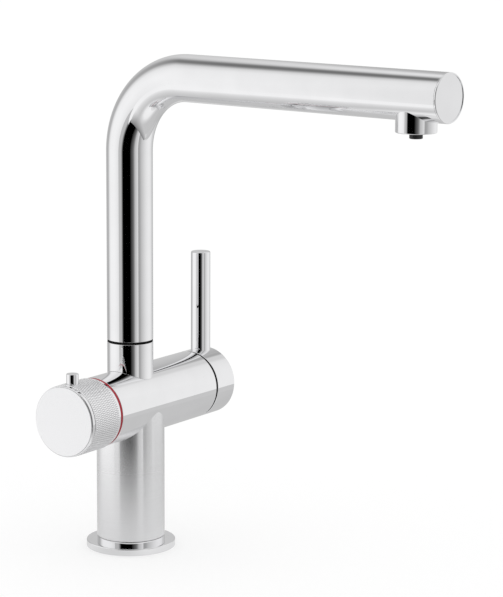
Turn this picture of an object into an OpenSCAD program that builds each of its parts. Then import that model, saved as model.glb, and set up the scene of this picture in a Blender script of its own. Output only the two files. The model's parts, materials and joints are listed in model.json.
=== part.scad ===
// Boiling water tap: one swivelling spout for mixed and boiling water, a mixer lever on the
// right and a knurled safety knob for boiling water on the left. Millimetres, +Z up.
// The origin is the centre of the base, on the worktop. The barrel lies along X, with the
// knob at -X, and the spout points to the front, -Y.

/* [Base] */
// Diameter of the base flange
flange_d = 54.4; // [48:0.2:66]
// Height of the flange's upper face above the worktop
flange_top = 4.5; // [3.5:0.1:7]
// Height of the polished neck that stands on the flange
neck_h = 2.5; // [1.5:0.1:5]
// Hairline gap between the neck and the column
neck_seam = 0.25; // [0.1:0.05:0.5]
// How far the gasket keeps the flange off the worktop
flange_lift = 0.3; // [0.2:0.05:0.5]
// Thickness of the rubber base gasket
gasket_t = 1.2; // [0.8:0.1:2]
// Radial width of the gasket
gasket_w = 5.8; // [3:0.1:6]
// Thickness of the inlet block
block_h = 15.4; // [13:0.1:20]
// Thread diameter of the fixing stud
stud_d = 8; // [6:1:9]
// Thread diameter of the three hose ports
port_d = 10; // [8:0.5:10]
// Depth of the stud hole and of the ports
thread_depth = 10; // [8:0.5:10.5]
// Radius of the circle that the ports and the stud stand on
port_circle_r = 9.5; // [8.5:0.1:9.8]

/* [Column] */
// Outside diameter of the column
column_d = 41.5; // [40:0.1:42]
// Wall of the column
column_wall = 2.5; // [1.5:0.1:3]
// Height of the barrel's axis above the worktop
axis_z = 90; // [78:0.5:120]
// Outside diameter of the supply risers
riser_d = 10; // [8:0.5:10]
// Wall of the supply risers
riser_wall = 1.5; // [1:0.1:2]

/* [Barrel] */
// Diameter of the barrel
barrel_d = 42.2; // [42.2:0.1:52]
// Length of the barrel to the left of the column's axis
barrel_left = 35.9; // [33:0.1:45]
// Length of the barrel to the right of the column's axis
barrel_right = 62.3; // [58:0.1:75]
// Radius of the boiling valve's chamber
valve_chamber_r = 12; // [11.5:0.1:13]
// Depth of the boiling valve's chamber
valve_chamber_depth = 20.4; // [17:0.1:20.4]
// Diameter of the mixing cartridge
cartridge_d = 35; // [33:0.5:36]
// Depth of the mixing cartridge's chamber
cartridge_depth = 39.3; // [36:0.1:41]

/* [Mixer lever] */
// Length of the lever's cap
cap_len = 18.5; // [16:0.1:24]
// Distance from the cap's inner end to the lever rod's axis
lever_inset = 10.95; // [9.5:0.05:12]
// Diameter of the lever rod
lever_d = 12.2; // [9:0.1:13]
// Height of the lever's tip above the barrel's axis
lever_len = 83.5; // [60:0.5:110]
// Width of the dark slide ring between the barrel and the cap
slide_ring_w = 1.5; // [0.6:0.1:2]

/* [Boiling water knob] */
// Diameter of the knob
knob_d = 43.2; // [42.6:0.1:52]
// Length of the knob
knob_len = 28.2; // [27.2:0.1:34.6]
// Wall of the knob's sleeve
knob_wall = 3.6; // [3:0.1:4]
// Diameter of the satin face disc
face_d = 41.2; // [37:0.1:41.4]
// Thickness of the face disc
face_t = 1.9; // [1.6:0.1:2.1]
// How far the face disc stands out of the sleeve
face_show = 0.6; // [0.2:0.1:0.8]
// Width of the red ring between the knob and the barrel
red_ring_w = 1.8; // [1:0.1:3]
// Diameter of the safety button
button_d = 7.3; // [6:0.1:7.6]
// Distance from the knob's face to the button's axis
button_inset = 8.9; // [8.6:0.1:9.2]
// How far the button stands out of the knob
button_show = 5.9; // [4:0.1:8]
// Travel of the safety button
button_travel = 2; // [1:0.1:2]
// How far the knob turns towards the user
knob_turn = 90; // [45:5:90]

/* [Spout] */
// Diameter of the spout tube and of its collar
spout_d = 28; // [27.5:0.1:34]
// Wall of the spout tube
spout_wall = 1.5; // [1:0.1:1.6]
// Height of the collar's upper face above the barrel's axis
collar_h = 38; // [36:0.1:50]
// Thickness of the black swivel washer
washer_t = 1.4; // [0.6:0.1:2]
// Height of the spout's horizontal axis above the worktop
spout_z = 290.2; // [230:0.1:380]
// Radius of the spout's bend, on its centreline
bend_r = 46; // [38:0.5:70]
// Reach of the spout's end from the column's axis
spout_reach = 230.3; // [180:0.1:300]
// Swivel angle of the spout at rest, negative towards the knob
spout_rest = -5; // [-120:1:120]
// Distance from the spout's end to the outlet's axis
outlet_inset = 21.8; // [18:0.1:30]
// Diameter of the outlet collar
outlet_d = 23.1; // [22.6:0.1:23.6]
// Distance from the spout's axis down to the outlet's rim
outlet_drop = 20.2; // [19:0.1:26]
// Diameter of the boiling water nozzle
nozzle_d = 7.5; // [7:0.1:8]
// How far the nozzle stands below the outlet's rim
nozzle_show = 3.3; // [1:0.1:6]

/* [Hidden] */
$fn = 96;
// Overshoot of a cut past the face that it opens
cut = 1;
// Radial clearance of a turning or sliding fit
fit = 0.05;
// Radial clearance of an O-ring in its bore
ring_fit = 0.1;
// Gap between faces that pass each other
gap = 0.3;
// Gap between flat faces that slide on each other
face_gap = 0.1;
// Small edge break on turned parts
edge = 0.4;
// Share of an edge break that its middle point stands in from the corner, which rounds the edge
rounding = 0.3;
// Radial slack of a loose ring or of a plain hole round a screw
slack = 0.2;

// Base
flange_edge = 0.7;
neck_top = flange_top + neck_h;
column_bottom = neck_top + neck_seam;
column_bore_r = column_d / 2 - column_wall;
spigot_wall = 2.2;
spigot_h = 9;
block_r = column_bore_r - spigot_wall - fit;
block_bottom = 0.6;
block_top = block_bottom + block_h;
riser_seat = 4;
gasket_r = flange_d / 2 - 2;
cold_angle = -45;
hot_angle = 45;
boiling_angle = -135;
stud_angle = 135;
passage_r = 3;

// Barrel
barrel_r = barrel_d / 2;
riser_socket = 6;
riser_bore_r = riser_d / 2 - riser_wall;
drill_point = 0.5;
riser_end = axis_z - sqrt(pow(barrel_r, 2) - pow(port_circle_r * sin(45), 2)) + riser_socket;
valve_floor = -barrel_left + valve_chamber_depth;
cartridge_floor = barrel_right - cartridge_depth;
cartridge_chamber_r = cartridge_d / 2 + 0.5;
socket_r = 11.5;
socket_floor = axis_z + 7;
inner_bore_r = 5;
inner_bore_floor = axis_z - 4;
supply_y = port_circle_r * sin(45);
supply_drop = 6;
mixed_rise = 10.5;
feed_drop = 2;
feed_r = 2.5;
boiling_out_y = 3.5;

// Mixing cartridge, from the chamber's floor outwards
base_seal_t = 1.2;
disc_t = 4;
carrier_t = 4.8;
cartridge_r = cartridge_d / 2;
disc_seat_r = 14;
disc_x = cartridge_floor + base_seal_t;
moving_disc_x = disc_x + disc_t;
carrier_x = moving_disc_x + disc_t;
carrier_end = carrier_x + carrier_t;
housing_shoulder = barrel_right - 8.3;
housing_neck_r = 10.5;
housing_end = barrel_right - 2.3;
stem_r = 5;

// Lever
cap_x = barrel_right + slide_ring_w + face_gap;
cap_end = cap_x + cap_len;
lever_x = cap_x + lever_inset;
cap_web_x = cap_x + 3.2;
cap_bore_end = cap_end - 3.4;
rod_seat = 17;
rod_tail_r = 4;
grub_r = 2.5;

// Boiling water valve and knob
red_ring_x = -barrel_left - red_ring_w;
knob_end = red_ring_x - gap;
knob_face_x = knob_end - knob_len;
knob_r = knob_d / 2;
knob_bore_r = knob_r - knob_wall;
face_seat_x = knob_face_x + face_t;
sleeve_x = knob_face_x + face_show;
button_x = knob_face_x + button_inset;
headwork_collar_t = 3;
headwork_collar_x = red_ring_x - headwork_collar_t;
nose_len = 7.7;
nose_x = headwork_collar_x - nose_len;
nose_r = 8;
spindle_r = 4.8;
valve_disc_t = 3;
valve_port_r = 1.7;
valve_seal_t = 1.2;
valve_disc_x = valve_floor - valve_seal_t - valve_disc_t;
valve_moving_x = valve_disc_x - valve_disc_t;
dog_t = 1;
valve_cavity_x = valve_moving_x - dog_t - gap;
valve_cavity_r = 9.3;
guide_r = 11;
guide_flange_r = knob_bore_r - 1;
guide_flange_x = headwork_collar_x - 5.6;
guide_end = face_seat_x + 3.9;
hub_x = face_seat_x + face_gap;
hub_web_end = guide_end - 0.4;
hub_end = button_x + 6.3;
hub_socket_x = hub_web_end - 1.2;
hub_ledge = 0.6;
screw_head_x = hub_x + face_gap;
knob_screw_r = 2;
screw_head_r = 3.6;
button_r = button_d / 2;
button_shoulder_r = button_r + 0.75;
// The shoulder's rim stops under the sleeve's curved bore
button_shoulder = sqrt(pow(knob_bore_r, 2) - pow(button_shoulder_r, 2)) - slack;
button_shoulder_t = 1.5;
button_tip_r = 2;
button_tip = 8.5;
spring_seat = 12.3;
slot_floor = button_tip - button_travel - 0.5;
slot_half = button_tip_r + gap;
slot_extra = asin(slot_half / slot_floor);

// Spout
spout_r = spout_d / 2;
spout_bore_r = spout_r - spout_wall;
collar_top = axis_z + collar_h;
washer_top = collar_top + washer_t;
tube_bottom = washer_top + face_gap;
bend_z = spout_z - bend_r;
end_cap_t = 1.2;
tube_end = spout_reach - end_cap_t;
outlet_y = -(spout_reach - outlet_inset);
outlet_r = outlet_d / 2;
outlet_z = spout_z - outlet_drop;
outlet_top = spout_z - 5.7;
outlet_ledge = outlet_top - 3.5;
outlet_bore_r = outlet_r - 1.55;
aerator_z = outlet_z + 0.8;
aerator_seal_t = 1.2;
nozzle_r = nozzle_d / 2;
nozzle_z = outlet_z - nozzle_show;
nozzle_bore_r = 2.2;
swivel_r = 10;
spigot_bore_r = 7.5;
spigot_bottom = socket_floor + 7;
spigot_top = tube_bottom + 14;
bush_h = 7;
lower_bush_h = 3.5;
upper_bush_z = collar_top - 0.5 - bush_h;
lower_bush_z = spigot_bottom + 0.5;
o_ring_r = 1.4;
o_ring_first = lower_bush_z + lower_bush_h + 2.3;
o_ring_pitch = 3.3;
stop_screw_z = upper_bush_z - 3.2;
stop_tip_r = 1.2;
stop_screw_r = 2;
stop_groove_r = 8.9;
inner_tube_r = 3.5;
inner_tube_bore_r = 2.5;
tail_r = inner_bore_r - fit;
tail_bottom = inner_bore_floor + 7.5;
tail_flange_z = spigot_bottom + 1;
tail_flange_t = 3;
inner_tube_start = tail_flange_z - 1;
tail_ring_z = tail_bottom + 1.9;
tail_ring_r = 0.85;
elbow_r = 12;
elbow_z = spout_z - elbow_r;

// ---- helpers -------------------------------------------------------------------------

module along_x(x = 0) {
  translate([x, 0, axis_z]) rotate([0, 90, 0]) children();
}

module disc_x(x0, x1, r) {
  along_x(x0) cylinder(h = x1 - x0, r = r);
}

module ring_x(x0, x1, r_out, r_in) {
  difference() {
    disc_x(x0, x1, r_out);
    disc_x(x0 - cut, x1 + cut, r_in);
  }
}

// A solid turned about the barrel's axis, from points [radius, x]
module turned_x(profile) {
  along_x() rotate_extrude() polygon(profile);
}

module disc_z(z0, z1, r) {
  translate([0, 0, z0]) cylinder(h = z1 - z0, r = r);
}

module ring_z(z0, z1, r_out, r_in) {
  difference() {
    disc_z(z0, z1, r_out);
    disc_z(z0 - cut, z1 + cut, r_in);
  }
}

module o_ring(z, centre_r, section_r) {
  translate([0, 0, z]) rotate_extrude() translate([centre_r, 0]) circle(r = section_r);
}

// A bore along X at a given offset from the barrel's axis
module passage_x(x0, x1, y, z, r) {
  translate([x0, y, z]) rotate([0, 90, 0]) cylinder(h = x1 - x0, r = r);
}

module at_port(angle) {
  rotate([0, 0, angle]) translate([port_circle_r, 0, 0]) children();
}

// Places the spout's pieces, drawn pointing straight to the front, at the rest angle
module swivelled() {
  rotate([0, 0, spout_rest]) children();
}

// A quarter torus in the YZ plane that turns from straight up to the front
module bend(radius, r_out, r_in) {
  translate([0, -radius, spout_z - radius]) rotate([90, 0, 90])
    rotate_extrude(angle = 90) translate([radius, 0]) difference() {
      circle(r = r_out);
      circle(r = r_in);
    }
}

module tube_y(y0, y1, z, r_out, r_in) {
  translate([0, y1, z]) rotate([-90, 0, 0]) difference() {
    cylinder(h = y0 - y1, r = r_out);
    translate([0, 0, -cut]) cylinder(h = y0 - y1 + 2 * cut, r = r_in);
  }
}

// A hexagon socket for a key, cut along +Z
module hex_socket(across, depth) {
  cylinder(h = depth, d = across / cos(30), $fn = 6);
}

// ---- base and column -----------------------------------------------------------------

module base_gasket() {
  color("dimgray") ring_z(0, gasket_t, gasket_r, gasket_r - gasket_w);
}

module base_flange() {
  spigot_top_z = column_bottom + spigot_h;
  spigot_r = column_bore_r - fit;
  bore_r = block_r + fit;
  r = flange_d / 2;
  color("silver") rotate_extrude() polygon([
    [bore_r, flange_lift],
    [gasket_r - gasket_w - fit, flange_lift],
    [gasket_r - gasket_w - fit, gasket_t],
    [gasket_r + fit, gasket_t],
    [gasket_r + fit, flange_lift],
    [r - edge, flange_lift],
    [r, flange_lift + edge],
    [r, flange_top - flange_edge],
    [r - flange_edge * rounding, flange_top - flange_edge * rounding],
    [r - flange_edge, flange_top],
    [column_d / 2, flange_top],
    [column_d / 2, neck_top],
    [spigot_r, neck_top],
    [spigot_r, spigot_top_z],
    [bore_r, spigot_top_z]
  ]);
}

module inlet_block() {
  color("goldenrod") difference() {
    disc_z(block_bottom, block_top, block_r);
    for (angle = [cold_angle, hot_angle, boiling_angle]) at_port(angle) {
      disc_z(block_bottom - cut, block_bottom + thread_depth, port_d / 2);
      disc_z(block_bottom, block_top, passage_r);
      disc_z(block_top - riser_seat, block_top + cut, riser_d / 2 + fit);
    }
    at_port(stud_angle) disc_z(block_bottom - cut, block_bottom + thread_depth, stud_d / 2);
  }
}

module riser(angle) {
  at_port(angle) ring_z(block_top - riser_seat, riser_end, riser_d / 2, riser_bore_r);
}

module cold_riser() { color("peru") riser(cold_angle); }
module hot_riser() { color("peru") riser(hot_angle); }
module boiling_riser() { color("peru") riser(boiling_angle); }

module column() {
  color("gainsboro") difference() {
    ring_z(column_bottom, axis_z, column_d / 2, column_bore_r);
    disc_x(-barrel_left, barrel_right, barrel_r);
  }
}

// ---- barrel --------------------------------------------------------------------------

module mixer_body() {
  color("silver") difference() {
    turned_x([
      [0, -barrel_left], [barrel_r - edge, -barrel_left], [barrel_r, -barrel_left + edge],
      [barrel_r, barrel_right - edge], [barrel_r - edge, barrel_right], [0, barrel_right]
    ]);
    disc_x(-barrel_left - cut, valve_floor, valve_chamber_r);
    disc_x(cartridge_floor, barrel_right + cut, cartridge_chamber_r);
    disc_z(socket_floor, axis_z + barrel_r + cut, socket_r);
    disc_z(inner_bore_floor, socket_floor + cut, inner_bore_r);
    for (angle = [cold_angle, hot_angle, boiling_angle]) at_port(angle) {
      disc_z(axis_z - barrel_r - cut, riser_end, riser_d / 2 + fit);
      disc_z(riser_end - cut, axis_z - feed_drop - drill_point, riser_bore_r);
    }
    for (side = [-1, 1])
      passage_x(supply_y, cartridge_floor + cut, side * supply_y, axis_z - supply_drop, passage_r);
    passage_x(0, cartridge_floor + cut, 0, axis_z + mixed_rise, passage_r);
    at_port(boiling_angle) disc_z(riser_end, axis_z + feed_r - feed_drop + drill_point, feed_r + 0.4);
    passage_x(valve_floor - cut, -supply_y, -supply_y, axis_z - feed_drop, feed_r);
    passage_x(valve_floor - cut, 0, boiling_out_y, axis_z, feed_r);
  }
}

module spout_collar() {
  color("silver") difference() {
    rotate_extrude() polygon([
      [socket_r, axis_z], [spout_r, axis_z], [spout_r, collar_top - edge],
      [spout_r - edge, collar_top], [socket_r, collar_top]
    ]);
    disc_x(-barrel_left, barrel_right, barrel_r);
    translate([0, 0, stop_screw_z]) rotate([-90, 0, 0])
      cylinder(h = spout_r + cut, r = stop_screw_r);
  }
}

module swivel_washer() {
  color("black") ring_z(collar_top, washer_top, spout_r - slack, socket_r + 2 * slack);
}

module swivel_bushes() {
  color("ivory") {
    ring_z(upper_bush_z, upper_bush_z + bush_h, socket_r, swivel_r + fit);
    ring_z(lower_bush_z, lower_bush_z + lower_bush_h, socket_r, swivel_r + fit);
  }
}

// A dog-point screw in the back of the collar that keeps the spout down
module spout_stop_screw() {
  key_size = 2;
  key_depth = 1.6;
  tip_len = 2;
  thread_start = swivel_r + gap + face_gap;
  screw_end = spout_r - 0.5;
  color("dimgray") translate([0, 0, stop_screw_z]) rotate([-90, 0, 0]) difference() {
    union() {
      translate([0, 0, stop_groove_r + gap]) cylinder(h = tip_len, r = stop_tip_r);
      translate([0, 0, thread_start]) cylinder(h = screw_end - thread_start, r = stop_screw_r - fit);
    }
    translate([0, 0, screw_end - key_depth]) hex_socket(key_size, key_depth + cut);
  }
}

// ---- spout ---------------------------------------------------------------------------

module spout_spigot() {
  color("goldenrod") difference() {
    union() {
      disc_z(spigot_bottom, tube_bottom + cut, swivel_r);
      disc_z(tube_bottom, spigot_top, spout_bore_r - fit);
    }
    disc_z(spigot_bottom - cut, spigot_top + cut, spigot_bore_r);
    for (i = [0, 1]) translate([0, 0, o_ring_first + i * o_ring_pitch])
      ring_z(-o_ring_r - ring_fit, o_ring_r + ring_fit, swivel_r + cut, swivel_r - o_ring_r);
    translate([0, 0, stop_screw_z])
      ring_z(-stop_tip_r - gap, stop_tip_r + gap, swivel_r + cut, stop_groove_r);
  }
}

module spigot_o_rings() {
  color("black") for (i = [0, 1])
    o_ring(o_ring_first + i * o_ring_pitch, socket_r - ring_fit - o_ring_r, o_ring_r);
}

module spout_tube() {
  hole_over = 1.5;
  color("silver") swivelled() difference() {
    union() {
      ring_z(tube_bottom, bend_z, spout_r, spout_bore_r);
      bend(bend_r, spout_r, spout_bore_r);
      tube_y(-bend_r, -tube_end, spout_z, spout_r, spout_bore_r);
    }
    translate([0, outlet_y, 0]) disc_z(spout_z - spout_r - cut, outlet_top + hole_over, outlet_r + fit);
  }
}

module spout_end_cap() {
  plug_len = 4;
  rim_w = 0.9;
  recess = 0.4;
  color("silver") swivelled() translate([0, -tube_end, spout_z]) rotate([90, 0, 0])
    rotate_extrude() polygon([
      [0, -plug_len], [spout_bore_r - fit, -plug_len], [spout_bore_r - fit, 0], [spout_r, 0],
      [spout_r, end_cap_t - edge], [spout_r - edge * rounding, end_cap_t - edge * rounding],
      [spout_r - edge, end_cap_t], [spout_r - rim_w, end_cap_t],
      [spout_r - rim_w, end_cap_t - recess], [0, end_cap_t - recess]
    ]);
}

module outlet_collar() {
  rim = 0.5;
  throat_r = outlet_bore_r - 3;
  color("silver") swivelled() translate([0, outlet_y, 0]) rotate_extrude() polygon([
    [outlet_bore_r, outlet_z], [outlet_r - rim, outlet_z], [outlet_r, outlet_z + rim],
    [outlet_r, outlet_top], [throat_r, outlet_top], [throat_r, outlet_ledge],
    [outlet_bore_r, outlet_ledge]
  ]);
}

module aerator_insert() {
  slots = 16;
  slot_w = 1;
  slot_in = nozzle_r + 1.3;
  slot_out = outlet_bore_r - 1.1;
  top = outlet_ledge - aerator_seal_t;
  color("whitesmoke") swivelled() translate([0, outlet_y, 0]) difference() {
    ring_z(aerator_z, top, outlet_bore_r - fit, nozzle_r + fit);
    for (i = [0 : slots - 1]) rotate([0, 0, i * 360 / slots])
      translate([slot_in, -slot_w / 2, aerator_z - cut])
        cube([slot_out - slot_in, slot_w, top - aerator_z + 2 * cut]);
  }
}

module aerator_seal() {
  seal_w = 2;
  color("dimgray") swivelled() translate([0, outlet_y, 0])
    ring_z(outlet_ledge - aerator_seal_t, outlet_ledge, outlet_bore_r - fit, outlet_bore_r - seal_w);
}

module boiling_nozzle() {
  rim = 0.4;
  color("black") swivelled() translate([0, outlet_y, 0]) rotate_extrude() polygon([
    [nozzle_bore_r, nozzle_z], [nozzle_r - rim, nozzle_z], [nozzle_r, nozzle_z + rim],
    [nozzle_r, elbow_z], [nozzle_bore_r, elbow_z]
  ]);
}

// The heat-proof hose inside the spout, from the swivel to the nozzle
module boiling_inner_tube() {
  color("white") swivelled() {
    ring_z(inner_tube_start, bend_z, inner_tube_r, inner_tube_bore_r);
    bend(bend_r, inner_tube_r, inner_tube_bore_r);
    tube_y(-bend_r, outlet_y + elbow_r, spout_z, inner_tube_r, inner_tube_bore_r);
    translate([0, outlet_y + elbow_r, elbow_z]) rotate([90, 0, 90])
      rotate_extrude(angle = 90, start = 90) translate([elbow_r, 0]) difference() {
        circle(r = inner_tube_r);
        circle(r = inner_tube_bore_r);
      }
  }
}

module inner_tube_tail() {
  holes = 6;
  hole_r = 1.1;
  hole_circle_r = 5.9;
  color("goldenrod") difference() {
    union() {
      disc_z(tail_bottom, tail_flange_z + cut, tail_r);
      disc_z(tail_flange_z, tail_flange_z + tail_flange_t, spigot_bore_r - fit);
    }
    disc_z(tail_bottom - cut, inner_tube_start + fit, inner_tube_bore_r);
    disc_z(inner_tube_start, tail_flange_z + tail_flange_t + cut, inner_tube_r + fit);
    translate([0, 0, tail_ring_z])
      ring_z(-tail_ring_r - ring_fit, tail_ring_r + ring_fit, tail_r + cut,
             tail_r + fit - 2 * tail_ring_r - ring_fit);
    for (i = [0 : holes - 1]) rotate([0, 0, i * 360 / holes]) translate([hole_circle_r, 0, 0])
      disc_z(tail_flange_z - cut, tail_flange_z + tail_flange_t + cut, hole_r);
  }
}

module tail_o_ring() {
  color("black") o_ring(tail_ring_z, inner_bore_r - ring_fit - tail_ring_r, tail_ring_r);
}

// ---- mixing cartridge and lever ------------------------------------------------------

// The three water ways that run through the cartridge's seal and fixed disc
module cartridge_ports(x0, x1, r) {
  for (side = [-1, 1]) passage_x(x0, x1, side * supply_y, axis_z - supply_drop, r);
  passage_x(x0, x1, 0, axis_z + mixed_rise, r);
}

module cartridge_seal() {
  color("dimgray") difference() {
    disc_x(cartridge_floor, disc_x, cartridge_r);
    cartridge_ports(cartridge_floor - cut, disc_x + cut, passage_r);
  }
}

module cartridge_fixed_disc() {
  color("white") difference() {
    disc_x(disc_x, moving_disc_x, disc_seat_r - fit);
    cartridge_ports(disc_x - cut, moving_disc_x + cut, passage_r - slack);
  }
}

// The moving disc has a blind pocket that joins the water ways as it turns
module cartridge_moving_disc() {
  pocket_depth = 2.5;
  pocket_out = 12.2;
  pocket_in = 5.5;
  color("white") difference() {
    disc_x(moving_disc_x, carrier_x, disc_seat_r - 0.5);
    ring_x(moving_disc_x - cut, moving_disc_x + pocket_depth, pocket_out, pocket_in);
  }
}

module cartridge_housing() {
  color("lightgray") turned_x([
    [disc_seat_r, disc_x], [cartridge_r, disc_x], [cartridge_r, housing_shoulder],
    [housing_neck_r, housing_shoulder], [housing_neck_r, housing_end], [stem_r + fit, housing_end],
    [stem_r + fit, carrier_end + gap], [disc_seat_r, carrier_end + gap]
  ]);
}

module cartridge_spindle() {
  color("lightgray") union() {
    disc_x(carrier_x, carrier_end, disc_seat_r - 0.7);
    disc_x(carrier_end - cut, cap_bore_end - gap, stem_r);
  }
}

module cartridge_nut() {
  notches = 6;
  notch_w = 3;
  notch_depth = 2;
  notch_r = housing_neck_r + 3.5;
  nut_end = housing_shoulder + 6.5;
  color("goldenrod") difference() {
    ring_x(housing_shoulder, nut_end, cartridge_chamber_r - fit, housing_neck_r + gap + slack);
    for (i = [0 : notches - 1]) along_x(nut_end - notch_depth) rotate([0, 0, i * 360 / notches])
      translate([notch_r, -notch_w / 2, 0])
        cube([cartridge_chamber_r - notch_r + cut, notch_w, notch_depth + cut]);
  }
}

module lever_slide_ring() {
  color("dimgray")
    ring_x(barrel_right, barrel_right + slide_ring_w, barrel_r - 3 * slack, cartridge_chamber_r + slack);
}

module lever_cap() {
  cap_edge = 2 * edge;
  color("silver") difference() {
    turned_x([
      [0, cap_x], [barrel_r - edge, cap_x], [barrel_r, cap_x + edge],
      [barrel_r, cap_end - cap_edge], [barrel_r - cap_edge * rounding, cap_end - cap_edge * rounding],
      [barrel_r - cap_edge, cap_end], [0, cap_end]
    ]);
    disc_x(cap_x - cut, cap_web_x, cartridge_chamber_r + gap + slack);
    disc_x(cap_web_x - cut, cap_bore_end, stem_r + fit);
    translate([lever_x, 0, 0]) {
      disc_z(axis_z + rod_seat, axis_z + barrel_r + cut, lever_d / 2 + fit);
      disc_z(axis_z, axis_z + rod_seat + cut, rod_tail_r);
      disc_z(axis_z - barrel_r - cut, axis_z, grub_r);
    }
  }
}

module lever_rod() {
  tip = 0.8;
  tail_end = stem_r + 2;
  r = lever_d / 2;
  color("silver") translate([lever_x, 0, axis_z]) rotate_extrude() polygon([
    [0, tail_end], [rod_tail_r - fit, tail_end], [rod_tail_r - fit, rod_seat], [r, rod_seat],
    [r, lever_len - tip], [r - tip * rounding, lever_len - tip * rounding], [r - tip, lever_len],
    [0, lever_len]
  ]);
}

module lever_grub_screw() {
  screw_len = 9;
  key_size = 2.5;
  key_depth = 2;
  color("dimgray") translate([lever_x, 0, axis_z - stem_r - screw_len]) difference() {
    cylinder(h = screw_len, r = grub_r - fit);
    translate([0, 0, -cut]) hex_socket(key_size, key_depth + cut);
  }
}

// ---- boiling water valve and knob ----------------------------------------------------

module red_ring() {
  color("firebrick") ring_x(red_ring_x, -barrel_left, barrel_r, valve_chamber_r + slack);
}

// The two water ways of the boiling valve
module valve_ports(x0, x1, r) {
  passage_x(x0, x1, -supply_y, axis_z - feed_drop, r);
  passage_x(x0, x1, boiling_out_y, axis_z, r);
}

module valve_headwork() {
  collar_r = 15;
  color("goldenrod") turned_x([
    [spindle_r + fit, nose_x], [nose_r, nose_x], [nose_r, headwork_collar_x],
    [collar_r, headwork_collar_x], [collar_r, red_ring_x], [valve_chamber_r - fit, red_ring_x],
    [valve_chamber_r - fit, valve_floor - face_gap], [valve_cavity_r, valve_floor - face_gap],
    [valve_cavity_r, valve_cavity_x], [spindle_r + fit, valve_cavity_x]
  ]);
}

module valve_seal() {
  color("dimgray") difference() {
    disc_x(valve_floor - valve_seal_t, valve_floor, valve_cavity_r - fit);
    valve_ports(valve_floor - valve_seal_t - cut, valve_floor + cut, valve_port_r + slack);
  }
}

module valve_fixed_disc() {
  color("white") difference() {
    disc_x(valve_disc_x, valve_floor - valve_seal_t, valve_cavity_r - fit);
    valve_ports(valve_disc_x - cut, valve_floor - valve_seal_t + cut, valve_port_r);
  }
}

module valve_moving_disc() {
  pocket_depth = 2;
  pocket_out = 8;
  pocket_in = 2.5;
  color("white") difference() {
    disc_x(valve_moving_x, valve_disc_x, valve_cavity_r - 2 * slack);
    ring_x(valve_disc_x - pocket_depth, valve_disc_x + cut, pocket_out, pocket_in);
  }
}

module valve_spindle() {
  screw_hole = 9;
  color("goldenrod") difference() {
    union() {
      disc_x(hub_socket_x, valve_moving_x - dog_t / 2, spindle_r);
      disc_x(valve_moving_x - dog_t, valve_moving_x, valve_cavity_r - 3 * slack);
    }
    disc_x(hub_socket_x - cut, hub_socket_x + screw_hole, knob_screw_r + fit);
  }
}

// The fixed sleeve that guides the knob; the button's tip runs in its arc slot
module guide_sleeve() {
  color("dimgray") difference() {
    union() {
      disc_x(guide_end, guide_flange_x + cut, guide_r);
      disc_x(guide_flange_x, headwork_collar_x - face_gap, guide_flange_r);
    }
    disc_x(guide_end - cut, headwork_collar_x, spindle_r + gap + slack);
    disc_x(nose_x - face_gap, headwork_collar_x + cut, nose_r + fit);
    along_x(button_x)
      rotate_extrude(angle = knob_turn + 2 * slot_extra, start = 180 - slot_extra)
        translate([slot_floor, -slot_half]) square([guide_r + cut - slot_floor, 2 * slot_half]);
  }
}

module knob_sleeve() {
  face_bore_r = face_d / 2 + fit;
  bevel = 0.1;
  rim = 0.5;
  color("silver") difference() {
    turned_x([
      [face_bore_r, sleeve_x + bevel], [face_bore_r + bevel, sleeve_x],
      [knob_r - rim, sleeve_x], [knob_r - rim * rounding, sleeve_x + rim * rounding],
      [knob_r, sleeve_x + rim], [knob_r, knob_end - edge], [knob_r - edge, knob_end],
      [knob_bore_r, knob_end], [knob_bore_r, face_seat_x], [face_bore_r, face_seat_x]
    ]);
    translate([button_x, 0, axis_z]) cylinder(h = knob_r + cut, r = button_r + ring_fit);
  }
}

// The inner carrier that joins the sleeve to the spindle and houses the button's spring
module knob_hub() {
  hub_r = knob_bore_r - fit;
  hub_bore_r = guide_r + 2 * slack;
  screw_seat_x = hub_socket_x - hub_ledge;
  color("darkslategray") difference() {
    turned_x([
      [0, hub_x], [hub_r, hub_x], [hub_r, hub_end], [hub_bore_r, hub_end],
      [hub_bore_r, hub_web_end], [0, hub_web_end]
    ]);
    disc_x(hub_x - cut, screw_seat_x, screw_head_r + ring_fit);
    disc_x(hub_x - cut, hub_web_end + cut, knob_screw_r + ring_fit);
    disc_x(hub_socket_x, hub_web_end + cut, spindle_r + fit);
    translate([button_x, 0, axis_z]) {
      disc_z(spring_seat, knob_bore_r + cut, button_shoulder_r + ring_fit);
      disc_z(guide_r - cut, knob_bore_r, button_tip_r + gap);
    }
  }
}

module knob_face() {
  bevel = 0.2;
  r = face_d / 2;
  color("white") turned_x([
    [0, knob_face_x], [r - bevel, knob_face_x], [r, knob_face_x + bevel], [r, face_seat_x],
    [0, face_seat_x]
  ]);
}

module knob_screw() {
  key_size = 2.5;
  key_depth = 0.9;
  screw_len = 8;
  screw_seat_x = hub_socket_x - hub_ledge;
  color("dimgray") difference() {
    union() {
      disc_x(screw_head_x, screw_seat_x, screw_head_r);
      disc_x(screw_seat_x - cut / 2, hub_socket_x + screw_len, knob_screw_r);
    }
    along_x(screw_head_x - cut) hex_socket(key_size, key_depth + cut);
  }
}

module safety_button() {
  top = knob_r + button_show;
  rim = 0.5;
  color("silver") translate([button_x, 0, axis_z]) rotate_extrude() polygon([
    [0, button_tip], [button_tip_r, button_tip],
    [button_tip_r, button_shoulder - button_shoulder_t],
    [button_shoulder_r, button_shoulder - button_shoulder_t],
    [button_shoulder_r, button_shoulder], [button_r, button_shoulder], [button_r, top - rim],
    [button_r - rim * rounding, top - rim * rounding], [button_r - rim, top], [0, top]
  ]);
}

// The space that the button's coil spring fills at rest
module button_spring() {
  color("gray") translate([button_x, 0, axis_z])
    ring_z(spring_seat + fit, button_shoulder - button_shoulder_t - fit,
           button_shoulder_r - slack, button_tip_r + gap);
}

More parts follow.
